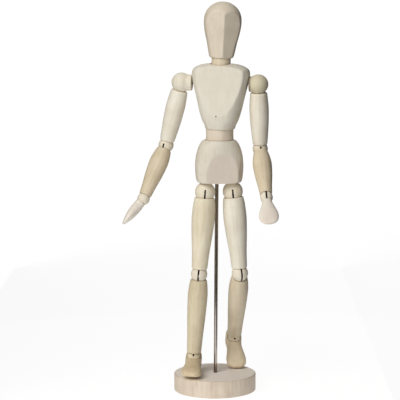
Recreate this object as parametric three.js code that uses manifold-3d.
// Jointed wooden artist mannequin on a turned base. Millimetres, +Z up, the figure faces -Y,
// its left side is +X, origin at the centre of the underside of the base.
import * as THREE from "three";
import { mergeVertices } from "three/addons/utils/BufferGeometryUtils.js";
import Module from "manifold-3d";

const wasm = await Module();
wasm.setup();

// ---- driving dimensions -------------------------------------------------------------------
const GAP = 0.3;
const BASE_R = 35;
const BASE_T = 14.7;
const BASE_EDGE = 1.2;
const BASE_HOLE_Z = 3;
const ROD_R = 1.5;
const ROD_LENGTH = 193;
const ROD_LEAN = 0.43;
const ROD_FOOT_X = 0.29;
const PELVIS_Z = 180.55;
const PELVIS_H = 36;
const PELVIS_TURN = 12;
const HIP_TURN = -12;
const ROD_BEHIND = 9;
const WAIST_R = 11.6;
const WAIST_SIDE = 9;
const WAIST_DOME = 20;
const WAIST_TILT = -1;
const CHEST_H = 54.8;
const CHEST_TURN = -20.6;
const CHEST_TILT = 1.4;
const NECK_R = 8;
const NECK_SINK = 3.4;
const NECK_SIDE = 7.9;
const NECK_SEAT = 9;
const NECK_DOME = 11;
const NECK_TILT = 0.5;
const HEAD_TILT = 0.8;
const HEAD_H = 47;
const HEAD_TURN = 20.6;
const SHOULDER_Z = 38.2;
const SHOULDER_R = 8.3;
const SHOULDER_STUB = 6.3;
const ELBOW_R = 6.4;
const WRIST_R = 5.3;
const UPPER_ARM = 55.6;
const FOREARM = 50;
const HIP_X = 11.9;
const HIP_Z = -7.9;
const HIP_R = 8.5;
const KNEE_R = 7;
const ANKLE_R = 5.6;
const THIGH = 70.7;
const SHIN = 73.4;
const PIN_R = 0.6;
const PIN_HOLE = 0.85;
const SLOT = 1.8;
const SLOT_CORE = 2.1;
const WIRE = 0.26;
const EYE_R = 1.35;
const EYE_X = 0.42;
const SPRING_R = 2;
const BORE_R = 2.4;
const TRUNK_BORE = 5;
const DRUM_BORE = 3.4;
const ANKLE_TO_SOLE = 13.2;

// Shoulders: distance of the ball from the middle, and of the flat on its inner side.
const SHOULDER = { right: { x: 33.4, face: 8.2 }, left: { x: 31.7, face: 6.8 } };

// Cups: radius of the ball they face, opening angle from the limb's axis and radius of the lip.
const CUP = {
  shoulder: { r: SHOULDER_R, open: 36, lip: 7.2 },
  aboveElbow: { r: ELBOW_R, open: 51, lip: 6.2 },
  belowElbow: { r: ELBOW_R, open: 51, lip: 6.3 },
  wrist: { r: WRIST_R, open: 54, lip: 5.2 },
  hip: { r: HIP_R, open: 56, lip: 8.6 },
  aboveKnee: { r: KNEE_R, open: 50, lip: 6.6 },
  belowKnee: { r: KNEE_R, open: 50, lip: 7.1 },
  ankle: { r: ANKLE_R, open: 52, lip: 6.2 },
};

// Slots sawn in the balls, as angles from 0 at the back (or the left) over 90 at the top.
const SLOTS = {
  right_shoulder: [[168, 284]],
  left_shoulder: [[-104, 12]],
  elbow: [[76, 284]],
  wrist: [[76, 325]],
  hip: [[172, 296]],
  knee: [[76, 366]],
  ankle: [[76, 150], [228, 304]],
};

// Lowest and highest point of each spring on its own axis.
const HIP_SPRING = { from: 2.6, to: 13.6, ribs: 4 };
const WAIST_SPRING = { from: -13, to: 23, ribs: 9 };
const NECK_SPRING = { from: -10, to: 19, ribs: 7 };

// Rest pose in degrees. A positive bend carries the far end of a piece backwards.
const POSE = {
  right: {
    arm: { swing: 5, lift: 13.9, turn: -13.1, bend: -26, hand_turn: 109, hand_bend: 17 },
    leg: { splay: 3.8, swing: 0.8, turn: -5, bend: 5.2, foot_turn: 2, foot_bend: -5.6 },
  },
  left: {
    arm: { swing: 9, lift: -1.5, turn: 13.5, bend: -51, hand_turn: -3, hand_bend: -2 },
    leg: { splay: -5.4, swing: 1, turn: 15.4, bend: 30.5, foot_turn: -10, foot_bend: -3.6 },
  },
};

const WOOD = {
  body: new THREE.MeshStandardMaterial({ color: 0xdccab4, roughness: 0.7 }),
  pale: new THREE.MeshStandardMaterial({ color: 0xe6dabf, roughness: 0.65 }),
  tan: new THREE.MeshStandardMaterial({ color: 0xcfbb95, roughness: 0.65 }),
  ball: new THREE.MeshStandardMaterial({ color: 0xe2d4b6, roughness: 0.6 }),
  base: new THREE.MeshStandardMaterial({ color: 0xd3bfab, roughness: 0.75 }),
};
const STEEL = new THREE.MeshStandardMaterial({ color: 0xb4b4b8, roughness: 0.25, metalness: 1 });

// ---- helpers ------------------------------------------------------------------------------
const rad = THREE.MathUtils.degToRad;
const v2 = (x, y) => new THREE.Vector2(x, y);

function solid(geometry) {
  const source = geometry.clone();
  source.deleteAttribute("normal");
  source.deleteAttribute("uv");
  const welded = mergeVertices(source, 1e-4);
  const raw = Array.from(welded.index.array);
  const at = (i) => new THREE.Vector3().fromBufferAttribute(welded.attributes.position, i);
  const tris = [];
  let volume = 0;
  for (let i = 0; i < raw.length; i += 3) {
    const [a, b, c] = raw.slice(i, i + 3);
    if (a === b || b === c || a === c) {
      continue;
    }
    volume += at(a).dot(at(b).cross(at(c)));
    tris.push(a, b, c);
  }
  if (volume < 0) {
    tris.reverse();
  }
  const mesh = new wasm.Mesh({
    numProp: 3,
    vertProperties: new Float32Array(welded.attributes.position.array),
    triVerts: new Uint32Array(tris),
  });
  return new wasm.Manifold(mesh);
}

function place(geometry, x = 0, y = 0, z = 0) {
  return geometry.translate(x, y, z);
}

// A solid of revolution about Z from [radius, z] pairs. A profile off the axis is a closed ring.
function turned(points, segments) {
  const path = points.map(([r, z]) => v2(r, z));
  if (points[0][0] > 0) {
    path.push(path[0].clone());
  }
  return new THREE.LatheGeometry(path, segments).rotateX(Math.PI / 2);
}

// An outline drawn in X-Z or Y-Z and given a thickness, centred on the third axis.
function plate(points, thickness, plane) {
  const shape = new THREE.Shape(points.map(([a, b]) => v2(a, b)));
  const flat = new THREE.ExtrudeGeometry(shape, { depth: thickness, bevelEnabled: false });
  flat.translate(0, 0, -thickness / 2);
  if (plane === "xz") {
    flat.rotateX(Math.PI / 2);
  }
  if (plane === "yz") {
    flat.rotateX(Math.PI / 2);
    flat.rotateZ(Math.PI / 2);
  }
  return flat;
}

function rod(radius, length, axis, sides) {
  const bar = new THREE.CylinderGeometry(radius, radius, length, sides);
  if (axis === "x") {
    bar.rotateZ(Math.PI / 2);
  }
  if (axis === "z") {
    bar.rotateX(Math.PI / 2);
  }
  return bar;
}

function sphere(radius, around, along, axis) {
  const ball = new THREE.SphereGeometry(radius, around, along);
  if (axis === "x") {
    ball.rotateZ(Math.PI / 2);
  }
  if (axis === "z") {
    ball.rotateX(Math.PI / 2);
  }
  return ball;
}

// A half-space as a large block: everything beyond the plane with this normal at this distance.
function beyond(normal, distance) {
  const size = 120;
  const block = new THREE.BoxGeometry(size, size, size);
  block.translate(0, 0, distance + size / 2);
  const way = new THREE.Vector3(...normal).normalize();
  const turn = new THREE.Quaternion().setFromUnitVectors(new THREE.Vector3(0, 0, 1), way);
  return block.applyQuaternion(turn);
}

function arc(radius, from, to, steps) {
  const points = [];
  for (let i = 0; i <= steps; i += 1) {
    const a = rad(from + ((to - from) * i) / steps);
    points.push([radius * Math.sin(a), radius * Math.cos(a)]);
  }
  return points;
}

function piece(parent, name, shape, material) {
  const mesh = shape.getMesh ? shape.getMesh() : solid(shape).getMesh();
  const geometry = new THREE.BufferGeometry();
  const points = new Float32Array(mesh.vertProperties);
  geometry.setAttribute("position", new THREE.BufferAttribute(points, 3));
  geometry.setIndex(new THREE.BufferAttribute(new Uint32Array(mesh.triVerts), 1));
  geometry.computeVertexNormals();
  const node = new THREE.Mesh(geometry, material);
  node.name = name;
  parent.add(node);
  return node;
}

function frame(parent, name, position, turns = []) {
  const group = new THREE.Group();
  group.name = name;
  group.position.set(...position);
  for (const [axis, degrees] of turns) {
    const step = new THREE.Quaternion().setFromAxisAngle(new THREE.Vector3(...axis), rad(degrees));
    group.quaternion.multiply(step);
  }
  parent.add(group);
  return group;
}

const X = [1, 0, 0];
const Y = [0, 1, 0];
const Z = [0, 0, 1];

// ---- shapes -------------------------------------------------------------------------------
// A wall of stacked oval sections: rows of [z, half width, half depth, squareness].
function carved(rows, sections) {
  const ends = [[0, rows[0][0]], ...rows.map((row) => [1, row[0]]), [0, rows[rows.length - 1][0]]];
  const shape = turned(ends, sections);
  const point = shape.attributes.position;
  for (let i = 0; i < point.count; i += 1) {
    const z = point.getZ(i);
    const row = rows.find((r) => Math.abs(r[0] - z) < 1e-3);
    const x = point.getX(i);
    const y = point.getY(i);
    const power = 2 / row[3];
    const reach = Math.hypot(x, y) > 0.5 ? 1 : 0;
    point.setX(i, reach * row[1] * Math.sign(x) * Math.abs(x) ** power);
    point.setY(i, reach * row[2] * Math.sign(y) * Math.abs(y) ** power);
  }
  return shape;
}

const rise = (dome, radius) => Math.sqrt(dome * dome - radius * radius);

function dome(radius, reach, bore) {
  const edge = (Math.asin(reach / radius) * 180) / Math.PI;
  const core = (Math.asin(bore / radius) * 180) / Math.PI;
  return arc(radius, core, edge, 3).map(([r, z]) => [r, z - rise(radius, reach)]);
}

// A bored drum with a dome at each end. Its straight side runs from 0 up to side.
function domedDrum(radius, side, lowDome, topDome, bore, segments) {
  const top = dome(topDome, radius, bore).map(([r, z]) => [r, z + side]);
  const bottom = dome(lowDome, radius, bore).map(([r, z]) => [r, -z]);
  return turned([...top, ...bottom.reverse()], segments);
}

// Slot through a ball: open between two angles, with room round the pin at its centre.
function slotBlade(from, to, plane) {
  const points = [];
  const outer = 14;
  for (let i = 0; i <= 5; i += 1) {
    const a = rad(from + ((to - from) * i) / 5);
    points.push([outer * Math.cos(a), outer * Math.sin(a)]);
  }
  for (let i = 0; i <= 4; i += 1) {
    const a = rad(to + ((from + 360 - to) * i) / 4);
    points.push([SLOT_CORE * Math.cos(a), SLOT_CORE * Math.sin(a)]);
  }
  return solid(plate(points, SLOT, plane));
}

// Ball of a joint: a slotted sphere with a drilled pin hole, with anything extra joined on.
function ball(radius, slots, pinAxis, extra = null) {
  const plane = pinAxis === "x" ? "yz" : "xz";
  let shape = solid(sphere(radius, 14, 9, pinAxis));
  if (extra) {
    shape = shape.add(extra);
  }
  for (const [from, to] of slots) {
    shape = shape.subtract(slotBlade(from, to, plane));
  }
  return shape.subtract(solid(rod(PIN_HOLE, radius * 3, pinAxis, 6)));
}

// A turned limb from the ball centre at z = 0 to the ball centre at z = -length, with a cup at
// each end and a bore for the spring. Bulge rows are [fraction of the way down, radius].
function limb(length, top, bottom, bulge) {
  const upper = cup(top.r, top.open, top.lip);
  const lower = cup(bottom.r, bottom.open, bottom.lip).map(([r, z]) => [r, -length - z]);
  const start = upper[0][1];
  const end = lower[0][1];
  const side = bulge.map(([t, r]) => [r, start + (end - start) * t]);
  const ring = [...side, ...lower, ...upper.reverse()];
  return turned(ring, 16);
}

// Lip and hollow of a cup that faces a ball at the origin from below.
function cup(radius, open, lip) {
  const hollow = radius + GAP;
  const core = (Math.asin(BORE_R / hollow) * 180) / Math.PI;
  const wall = arc(hollow, open, core, 3).map(([r, z]) => [r, -z]);
  const [r0, z0] = wall[0];
  return [[lip, z0 - (lip - r0) * 0.75], [(r0 + lip) / 2 + 0.25, z0 - (lip - r0) * 0.22], ...wall];
}

function eye(x, z, axis) {
  const ring = new THREE.TorusGeometry(EYE_R, WIRE, 4, 8);
  ring.rotateY(Math.PI / 2);
  ring.translate(x, 0, 0);
  if (axis === "y") {
    ring.rotateZ(Math.PI / 2);
  }
  return solid(place(ring, 0, 0, z));
}

// Straight wire along Z between two heights, at the offset of its eye.
function wire(offset, axis, from, to) {
  const bar = rod(WIRE * 1.1, Math.abs(from - to), "z", 4);
  const x = axis === "y" ? 0 : offset;
  const y = axis === "y" ? offset : 0;
  return solid(place(bar, x, y, (from + to) / 2));
}

// Close-wound spring along Z shown as a ribbed bar between two heights.
function coil(from, to, ribs) {
  const outer = [[0, from]];
  const step = (to - from) / ribs;
  for (let i = 0; i < ribs; i += 1) {
    outer.push([SPRING_R - 0.4, from + step * i], [SPRING_R, from + step * (i + 0.5)]);
  }
  outer.push([SPRING_R - 0.4, to], [0, to]);
  return solid(turned(outer, 8));
}

// Spring with an eye over the pin at z = 0 and another over the pin at z = -length.
function limbSpring(length, upperAxis, topCup, bottomCup, lowerTurn) {
  const top = -topCup - 1.2;
  const bottom = -length + bottomCup + 1.2;
  const hookTop = wire(EYE_X, upperAxis, -EYE_R, top - 1).add(eye(EYE_X, 0, upperAxis));
  const hookLow = wire(-EYE_X, "x", -length + EYE_R, bottom + 1).add(eye(-EYE_X, -length, "x"));
  return coil(bottom, top, 4).add(hookTop).add(hookLow.rotate([0, 0, lowerTurn]));
}

// Screw hook holding a hand or a foot to its ball: eye on the pin and a shank along `way`.
function screwHook(shank) {
  const stem = solid(place(rod(WIRE * 1.1, shank, "z", 4), EYE_X, 0, -EYE_R - shank / 2 + 0.2));
  const thread = turned([[0, 0], [0.75, -0.3], [0.75, -4], [0, -5]], 8);
  const body = solid(place(thread, EYE_X * 0.5, 0, -EYE_R - shank + 0.7));
  return stem.add(eye(EYE_X, 0, "x")).add(body);
}

// ---- stand --------------------------------------------------------------------------------
function base() {
  const e = BASE_EDGE;
  const t = BASE_T;
  const foot = [[BASE_R - e * 0.7, 0], [BASE_R, e * 0.7]];
  const rim = [[BASE_R, t - e], [BASE_R - e * 0.35, t - e * 0.3], [BASE_R - e, t]];
  const disc = solid(turned([[0, 0], ...foot, ...rim, [0, t]], 48));
  const drill = rod(ROD_R + 0.15, 40, "z", 14);
  drill.translate(0, 0, BASE_HOLE_Z + 20);
  drill.rotateY(rad(ROD_LEAN));
  return disc.subtract(solid(place(drill, ROD_FOOT_X)));
}

function supportRod() {
  const top = BASE_HOLE_Z + 0.3 + ROD_LENGTH;
  const low = BASE_HOLE_Z + 0.3;
  const nose = [[ROD_R, top - 0.6], [ROD_R - 0.5, top], [0, top]];
  return solid(turned([[0, low], [ROD_R - 0.4, low], [ROD_R, low + 0.5], ...nose], 14));
}

// ---- trunk --------------------------------------------------------------------------------
const PELVIS_ROWS = [
  [0, 17.6, 12.6, 2.7], [0.9, 18.7, 13.6, 2.7], [6, 19.8, 14.6, 2.6], [14, 20.3, 15.2, 2.5],
  [20, 19.9, 15, 2.5], [26, 18.8, 14.4, 2.4], [31, 17.1, 13.7, 2.3], [34, 15.4, 12.9, 2.2],
  [PELVIS_H, 13.2, 12.4, 2.1],
];
const CHEST_ROWS = [
  [0, 12.2, 12.3, 2.1], [3, 13, 13, 2.2], [5.5, 14.4, 13.6, 2.3], [8, 15.4, 14.1, 2.4],
  [15.8, 17.7, 15.1, 2.6], [26, 20, 16, 2.7], [36, 22.4, 16.6, 2.8], [45.8, 24.2, 16.6, 2.8],
  [48.2, 24.1, 16, 2.7], [50.6, 22.8, 13.6, 2.5], [53, 18.8, 10.4, 2.3], [CHEST_H, 12, 6, 2],
];

// Hollow of a dome of the given radius whose rim of radius r lies at height z.
function domeCut(radius, r, z, up) {
  return solid(place(sphere(radius + GAP, 20, 22, "z"), 0, 0, z - up * rise(radius, r)));
}

function pelvis() {
  const front = beyond([0, -1, -0.116], 11.7);
  const sideFlat = (s) => solid(beyond([0.78 * s, -0.62, -0.05], 19.3));
  const rodHole = rod(ROD_R + 0.2, 30, "z", 14);
  const body = solid(carved(PELVIS_ROWS, 28))
    .subtract(solid(front))
    .subtract(sideFlat(1))
    .subtract(sideFlat(-1))
    .subtract(domeCut(WAIST_DOME, WAIST_R, PELVIS_H, -1))
    .subtract(solid(place(rodHole, 0, ROD_BEHIND, 1.5)))
    .subtract(solid(place(rod(TRUNK_BORE, 30, "z", 14), 0, 0, PELVIS_H)));
  return hipSockets(body);
}

function hipSockets(body) {
  let shape = body;
  for (const s of [-1, 1]) {
    const socket = solid(place(sphere(HIP_R + GAP, 16, 12, "z"), s * HIP_X, 0, HIP_Z));
    const bore = solid(place(rod(BORE_R + 0.3, 40, "z", 12), s * HIP_X, 0, -4));
    shape = shape.subtract(socket).subtract(bore);
  }
  return shape;
}

function chest() {
  let shape = solid(carved(CHEST_ROWS, 28))
    .subtract(solid(place(beyond([0, -1, 0.1], 15), 0, 0, 6)))
    .subtract(domeCut(WAIST_DOME, WAIST_R, 0, 1))
    .subtract(neckSeat())
    .subtract(solid(place(rod(TRUNK_BORE, 44, "z", 14), 0, 0, 4)))
    .subtract(solid(place(rod(DRUM_BORE, 24, "z", 14), 0, 0, CHEST_H - 3)))
    .subtract(solid(place(rod(BORE_R + 0.3, 80, "x", 12), 0, 0, SHOULDER_Z)));
  for (const s of [-1, 1]) {
    shape = shape.subtract(solid(beyond([0.8 * s, -0.6, 0.02], 23.6)));
    shape = shape.subtract(solid(place(rod(SHOULDER_R + 0.9, 4, "x", 20), s * 26, 0, SHOULDER_Z)));
  }
  return shape;
}

function neckSeat() {
  const floor = CHEST_H - NECK_SINK;
  const well = solid(place(rod(NECK_R + 0.6, 20, "z", 24), 0, 0, floor + 10));
  const below = solid(beyond([0, 0, -1], -floor - 0.5));
  return well.add(domeCut(NECK_SEAT, NECK_R, floor - 0.1, -1).intersect(below));
}

function head() {
  const t = HEAD_H;
  const egg = [
    [0, 0], [8.9, 0], [10, 1], [11.1, 5], [12.5, 12], [14, 18], [15.3, 24], [15.9, 30],
    [15.8, 34], [15.1, 38], [13.4, 41.5], [10.8, 44.4], [7.4, 46.2], [3.6, 46.9], [0, t],
  ];
  let shape = solid(turned(egg, 28));
  for (const s of [-1, 1]) {
    shape = shape.subtract(solid(beyond([0.5 * s, -0.866, -0.13], 8.9)));
  }
  const bore = solid(place(rod(DRUM_BORE, 20, "z", 14), 0, 0, 5));
  return shape.subtract(domeCut(NECK_DOME, NECK_R, 0, 1)).subtract(bore);
}

// Hollow spring standing on the axis between two heights.
function trunkSpring({ from, to, ribs }) {
  const outer = [];
  const step = (to - from) / ribs;
  for (let i = 0; i < ribs; i += 1) {
    outer.push([2.4, from + step * i], [2.9, from + step * (i + 0.5)]);
  }
  outer.push([2.4, to]);
  return solid(turned([...outer, [1.7, to - step * 0.5], [1.7, from + step * 0.5]], 10));
}

// Spring across the chest from one shoulder pin to the other.
function shoulderSpring() {
  const half = 19;
  let spring = coil(-half - 1, half + 1, 7).rotate([0, 90, 0]);
  for (const [side, s] of [["right", -1], ["left", 1]]) {
    const reach = SHOULDER[side].x;
    const shank = rod(WIRE * 1.1, reach - half - EYE_R, "x", 6);
    spring = spring.add(solid(place(shank, (s * (reach + half - EYE_R)) / 2, -EYE_X)));
    spring = spring.add(eye(-EYE_X, 0, "y").translate([s * reach, 0, 0]));
  }
  return spring.translate([0, 0, SHOULDER_Z]);
}

// ---- arms and legs ------------------------------------------------------------------------
const UPPER_ARM_SHAPE = [[0, 7.2], [0.1, 7.6], [0.3, 8.1], [0.55, 7.8], [0.8, 7], [1, 6.2]];
const FOREARM_SHAPE = [[0, 6.3], [0.1, 7.2], [0.28, 8], [0.5, 7.5], [0.8, 6], [1, 5.2]];
const THIGH_SHAPE = [[0, 8.6], [0.08, 9.3], [0.27, 9.8], [0.5, 9], [0.8, 7.3], [1, 6.6]];
const SHIN_SHAPE = [[0, 7.1], [0.08, 7.9], [0.2, 8.4], [0.5, 7.8], [0.8, 6.7], [1, 6.2]];

function shoulderBall(s, face) {
  const stub = solid(place(rod(SHOULDER_STUB, face, "x", 14), (-s * face) / 2));
  const hookHole = solid(place(rod(1.5, 12, "x", 8), -s * 6.5));
  const inside = solid(beyond([-s, 0, 0], face));
  const slots = s > 0 ? SLOTS.left_shoulder : SLOTS.right_shoulder;
  return ball(SHOULDER_R, slots, "y", stub).subtract(inside).subtract(hookHole);
}

function pin(radius, axis) {
  return solid(rod(PIN_R, radius * 2 - 1.2, axis, 6));
}

// Hand: a flat spade that hangs from the wrist ball along -Z, its flat side to the front.
function hand() {
  const outline = [
    [-3.9, -2.6], [-4.3, -6], [-6, -11], [-7.7, -16], [-8.2, -19.5], [-7.6, -23], [-5.4, -26],
    [-2, -27.4], [2, -27.4], [5.4, -26], [7.6, -23], [8.2, -19.5], [7.7, -16], [6, -11],
    [4.3, -6], [3.9, -2.6],
  ];
  const profile = [
    [-3.9, -2.6], [-4.2, -6], [-4, -12], [-3.4, -19], [-2.3, -25], [-1.2, -27.5], [0.6, -27.5],
    [2, -24], [3, -18], [3.6, -12], [4, -6], [3.9, -2.6],
  ];
  const shape = solid(plate(outline, 12, "xz")).intersect(solid(plate(profile, 20, "yz")));
  const screw = solid(place(rod(1.15, 12, "z", 8), 0.2, 0, -8.5));
  return shape.subtract(solid(sphere(WRIST_R + GAP, 16, 10, "z"))).subtract(screw);
}

// Foot: the ankle ball sits in a collar near the heel, the sole runs forward along -Y.
function foot() {
  const sole = -ANKLE_TO_SOLE;
  const outline = [
    [0, 9.2], [3.6, 8.3], [5.9, 5.5], [6.6, 1], [6.3, -4], [7, -10], [8.2, -17], [8.6, -22],
    [7.6, -26.4], [4.6, -29], [0.4, -29.9], [-4, -29], [-7.2, -26.4], [-8.2, -22], [-7.7, -17],
    [-6.8, -10], [-6.3, -4], [-6.6, 1], [-5.9, 5.5], [-3.6, 8.3],
  ];
  const profile = [
    [6.4, sole + 0.9], [2.5, sole], [-13, sole], [-21, sole + 0.3], [-27, sole + 1.5],
    [-30, sole + 3.2], [-29.6, sole + 5.4], [-24, sole + 8.2], [-16, -3.4], [-9.6, -1.8],
    [-5, -0.8], [1, 0.6], [4.6, 1.6], [6.9, 3.9], [8.6, 3.4], [9, 1], [9, -6], [7.9, sole + 3.4],
  ];
  const lift = new THREE.Shape(outline.map(([x, y]) => v2(x, y)));
  const plan = new THREE.ExtrudeGeometry(lift, { depth: 30, bevelEnabled: false });
  const block = solid(place(plan, 0, 0, -20)).intersect(solid(plate(profile, 30, "yz")));
  const screw = solid(place(rod(1.15, 20, "z", 8), 0.2, 0, -6.6));
  const ankle = solid(sphere(ANKLE_R + GAP, 16, 10, "z"));
  return block.subtract(ankle).subtract(screw);
}

// ---- assembly -----------------------------------------------------------------------------
function addArm(parent, name, s, pose) {
  const { x, face } = SHOULDER[name];
  const turns = [[X, pose.swing]];
  const shoulder = frame(parent, `${name}_shoulder`, [s * x, 0, SHOULDER_Z], turns);
  piece(shoulder, `${name}_shoulder_ball`, shoulderBall(s, face), WOOD.ball);
  piece(shoulder, `${name}_shoulder_pin`, pin(SHOULDER_R, "y"), STEEL);
  const upper = frame(shoulder, `${name}_upper`, [0, 0, 0], [[Y, pose.lift]]);
  const upperArm = limb(UPPER_ARM, CUP.shoulder, CUP.aboveElbow, UPPER_ARM_SHAPE);
  piece(upper, `${name}_upper_arm`, upperArm, WOOD.pale);
  const upperSpring = limbSpring(UPPER_ARM, "y", SHOULDER_R, ELBOW_R, pose.turn);
  piece(upper, `${name}_upper_arm_spring`, upperSpring, STEEL);
  const elbow = frame(upper, `${name}_elbow`, [0, 0, -UPPER_ARM], [[Z, pose.turn]]);
  piece(elbow, `${name}_elbow_ball`, ball(ELBOW_R, SLOTS.elbow, "x"), WOOD.ball);
  piece(elbow, `${name}_elbow_pin`, pin(ELBOW_R, "x"), STEEL);
  const lower = frame(elbow, `${name}_lower`, [0, 0, 0], [[X, pose.bend]]);
  const forearm = limb(FOREARM, CUP.belowElbow, CUP.wrist, FOREARM_SHAPE);
  piece(lower, `${name}_forearm`, forearm, WOOD.tan);
  const lowerSpring = limbSpring(FOREARM, "x", ELBOW_R, WRIST_R, pose.hand_turn);
  piece(lower, `${name}_forearm_spring`, lowerSpring, STEEL);
  const wrist = frame(lower, `${name}_wrist`, [0, 0, -FOREARM], [[Z, pose.hand_turn]]);
  piece(wrist, `${name}_wrist_ball`, ball(WRIST_R, SLOTS.wrist, "x"), WOOD.ball);
  piece(wrist, `${name}_wrist_pin`, pin(WRIST_R, "x"), STEEL);
  const palm = frame(wrist, `${name}_palm`, [0, 0, 0], [[X, pose.hand_bend]]);
  piece(palm, `${name}_hand_hook`, screwHook(5.4), STEEL);
  piece(palm, `${name}_hand`, hand(), WOOD.body);
}

function addLeg(parent, name, pose) {
  const hip = frame(parent, `${name}_hip`, [0, 0, HIP_Z], [[Y, pose.splay]]);
  piece(hip, `${name}_hip_ball`, ball(HIP_R, SLOTS.hip, "x").subtract(topHole()), WOOD.ball);
  piece(hip, `${name}_hip_pin`, pin(HIP_R, "x"), STEEL);
  const upper = frame(hip, `${name}_thigh_frame`, [0, 0, 0], [[X, pose.swing]]);
  const thigh = limb(THIGH, CUP.hip, CUP.aboveKnee, THIGH_SHAPE);
  piece(upper, `${name}_thigh`, thigh, WOOD.pale);
  const upperSpring = limbSpring(THIGH, "x", HIP_R, KNEE_R, pose.turn);
  piece(upper, `${name}_thigh_spring`, upperSpring, STEEL);
  const knee = frame(upper, `${name}_knee`, [0, 0, -THIGH], [[Z, pose.turn]]);
  piece(knee, `${name}_knee_ball`, ball(KNEE_R, SLOTS.knee, "x"), WOOD.ball);
  piece(knee, `${name}_knee_pin`, pin(KNEE_R, "x"), STEEL);
  const lower = frame(knee, `${name}_shin_frame`, [0, 0, 0], [[X, pose.bend]]);
  const shin = limb(SHIN, CUP.belowKnee, CUP.ankle, SHIN_SHAPE);
  piece(lower, `${name}_shin`, shin, WOOD.tan);
  const lowerSpring = limbSpring(SHIN, "x", KNEE_R, ANKLE_R, pose.foot_turn);
  piece(lower, `${name}_shin_spring`, lowerSpring, STEEL);
  const ankle = frame(lower, `${name}_ankle`, [0, 0, -SHIN], [[Z, pose.foot_turn]]);
  piece(ankle, `${name}_ankle_ball`, ball(ANKLE_R, SLOTS.ankle, "x"), WOOD.ball);
  piece(ankle, `${name}_ankle_pin`, pin(ANKLE_R, "x"), STEEL);
  const sole = frame(ankle, `${name}_sole`, [0, 0, 0], [[X, pose.foot_bend]]);
  piece(sole, `${name}_foot_hook`, screwHook(5), STEEL);
  piece(sole, `${name}_foot`, foot(), WOOD.tan);
}

function topHole() {
  return solid(place(rod(1.6, 12, "z", 10), 0, 0, 6));
}

const mannequin = new THREE.Group();
mannequin.name = "artist_mannequin";
piece(mannequin, "base_disc", base(), WOOD.base);
const lean = frame(mannequin, "rod_frame", [ROD_FOOT_X, 0, 0], [[Y, ROD_LEAN]]);
piece(lean, "support_rod", supportRod(), STEEL);

const hips = frame(lean, "hips", [0, 0, PELVIS_Z], [[Z, PELVIS_TURN]]);
const trunk = frame(hips, "trunk", [0, -ROD_BEHIND, 0]);
piece(trunk, "pelvis", pelvis(), WOOD.body);
const hipHook = wire(-EYE_X, "x", HIP_Z + EYE_R, 4).add(eye(-EYE_X, HIP_Z, "x"));
for (const [name, s] of [["right", -1], ["left", 1]]) {
  const { from, to, ribs } = HIP_SPRING;
  const spring = coil(from, to, ribs).add(hipHook);
  const holder = frame(trunk, `${name}_hip_bore`, [s * HIP_X, 0, 0], [[Z, HIP_TURN]]);
  piece(holder, `${name}_hip_spring`, spring, STEEL);
  addLeg(holder, name, POSE[name].leg);
}

const waistRise = rise(WAIST_DOME, WAIST_R);
const waistTurns = [[Z, CHEST_TURN], [Y, WAIST_TILT]];
const waistCentre = frame(trunk, "waist_centre", [0, 0, PELVIS_H + 0.1 + waistRise], waistTurns);
const middle = frame(waistCentre, "waist_frame", [0, 0, -waistRise]);
const waistDrum = domedDrum(WAIST_R, WAIST_SIDE, WAIST_DOME, WAIST_DOME, DRUM_BORE, 28);
piece(middle, "waist", waistDrum, WOOD.body);
piece(middle, "waist_spring", trunkSpring(WAIST_SPRING), STEEL);
const bow = [[Y, CHEST_TILT]];
const chestCentre = frame(middle, "chest_centre", [0, 0, WAIST_SIDE - waistRise], bow);
const ribs = frame(chestCentre, "chest_frame", [0, 0, waistRise + 0.1]);
piece(ribs, "chest", chest(), WOOD.body);
piece(ribs, "shoulder_spring", shoulderSpring(), STEEL);
for (const [name, s] of [["right", -1], ["left", 1]]) {
  addArm(ribs, name, s, POSE[name].arm);
}

const seatRise = rise(NECK_SEAT, NECK_R);
const neckRise = rise(NECK_DOME, NECK_R);
const neckTurns = [[Z, HEAD_TURN], [Y, NECK_TILT]];
const neckCentre = frame(ribs, "neck_centre", [0, 0, CHEST_H - NECK_SINK + seatRise], neckTurns);
const throat = frame(neckCentre, "neck_frame", [0, 0, -seatRise]);
const neckDrum = domedDrum(NECK_R, NECK_SIDE, NECK_SEAT, NECK_DOME, DRUM_BORE, 24);
piece(throat, "neck", neckDrum, WOOD.pale);
piece(throat, "neck_spring", trunkSpring(NECK_SPRING), STEEL);
const headCentre = frame(throat, "head_centre", [0, 0, NECK_SIDE - neckRise], [[Y, HEAD_TILT]]);
const skull = frame(headCentre, "head_frame", [0, 0, neckRise + 0.1]);
piece(skull, "head", head(), WOOD.body);

export default mannequin;
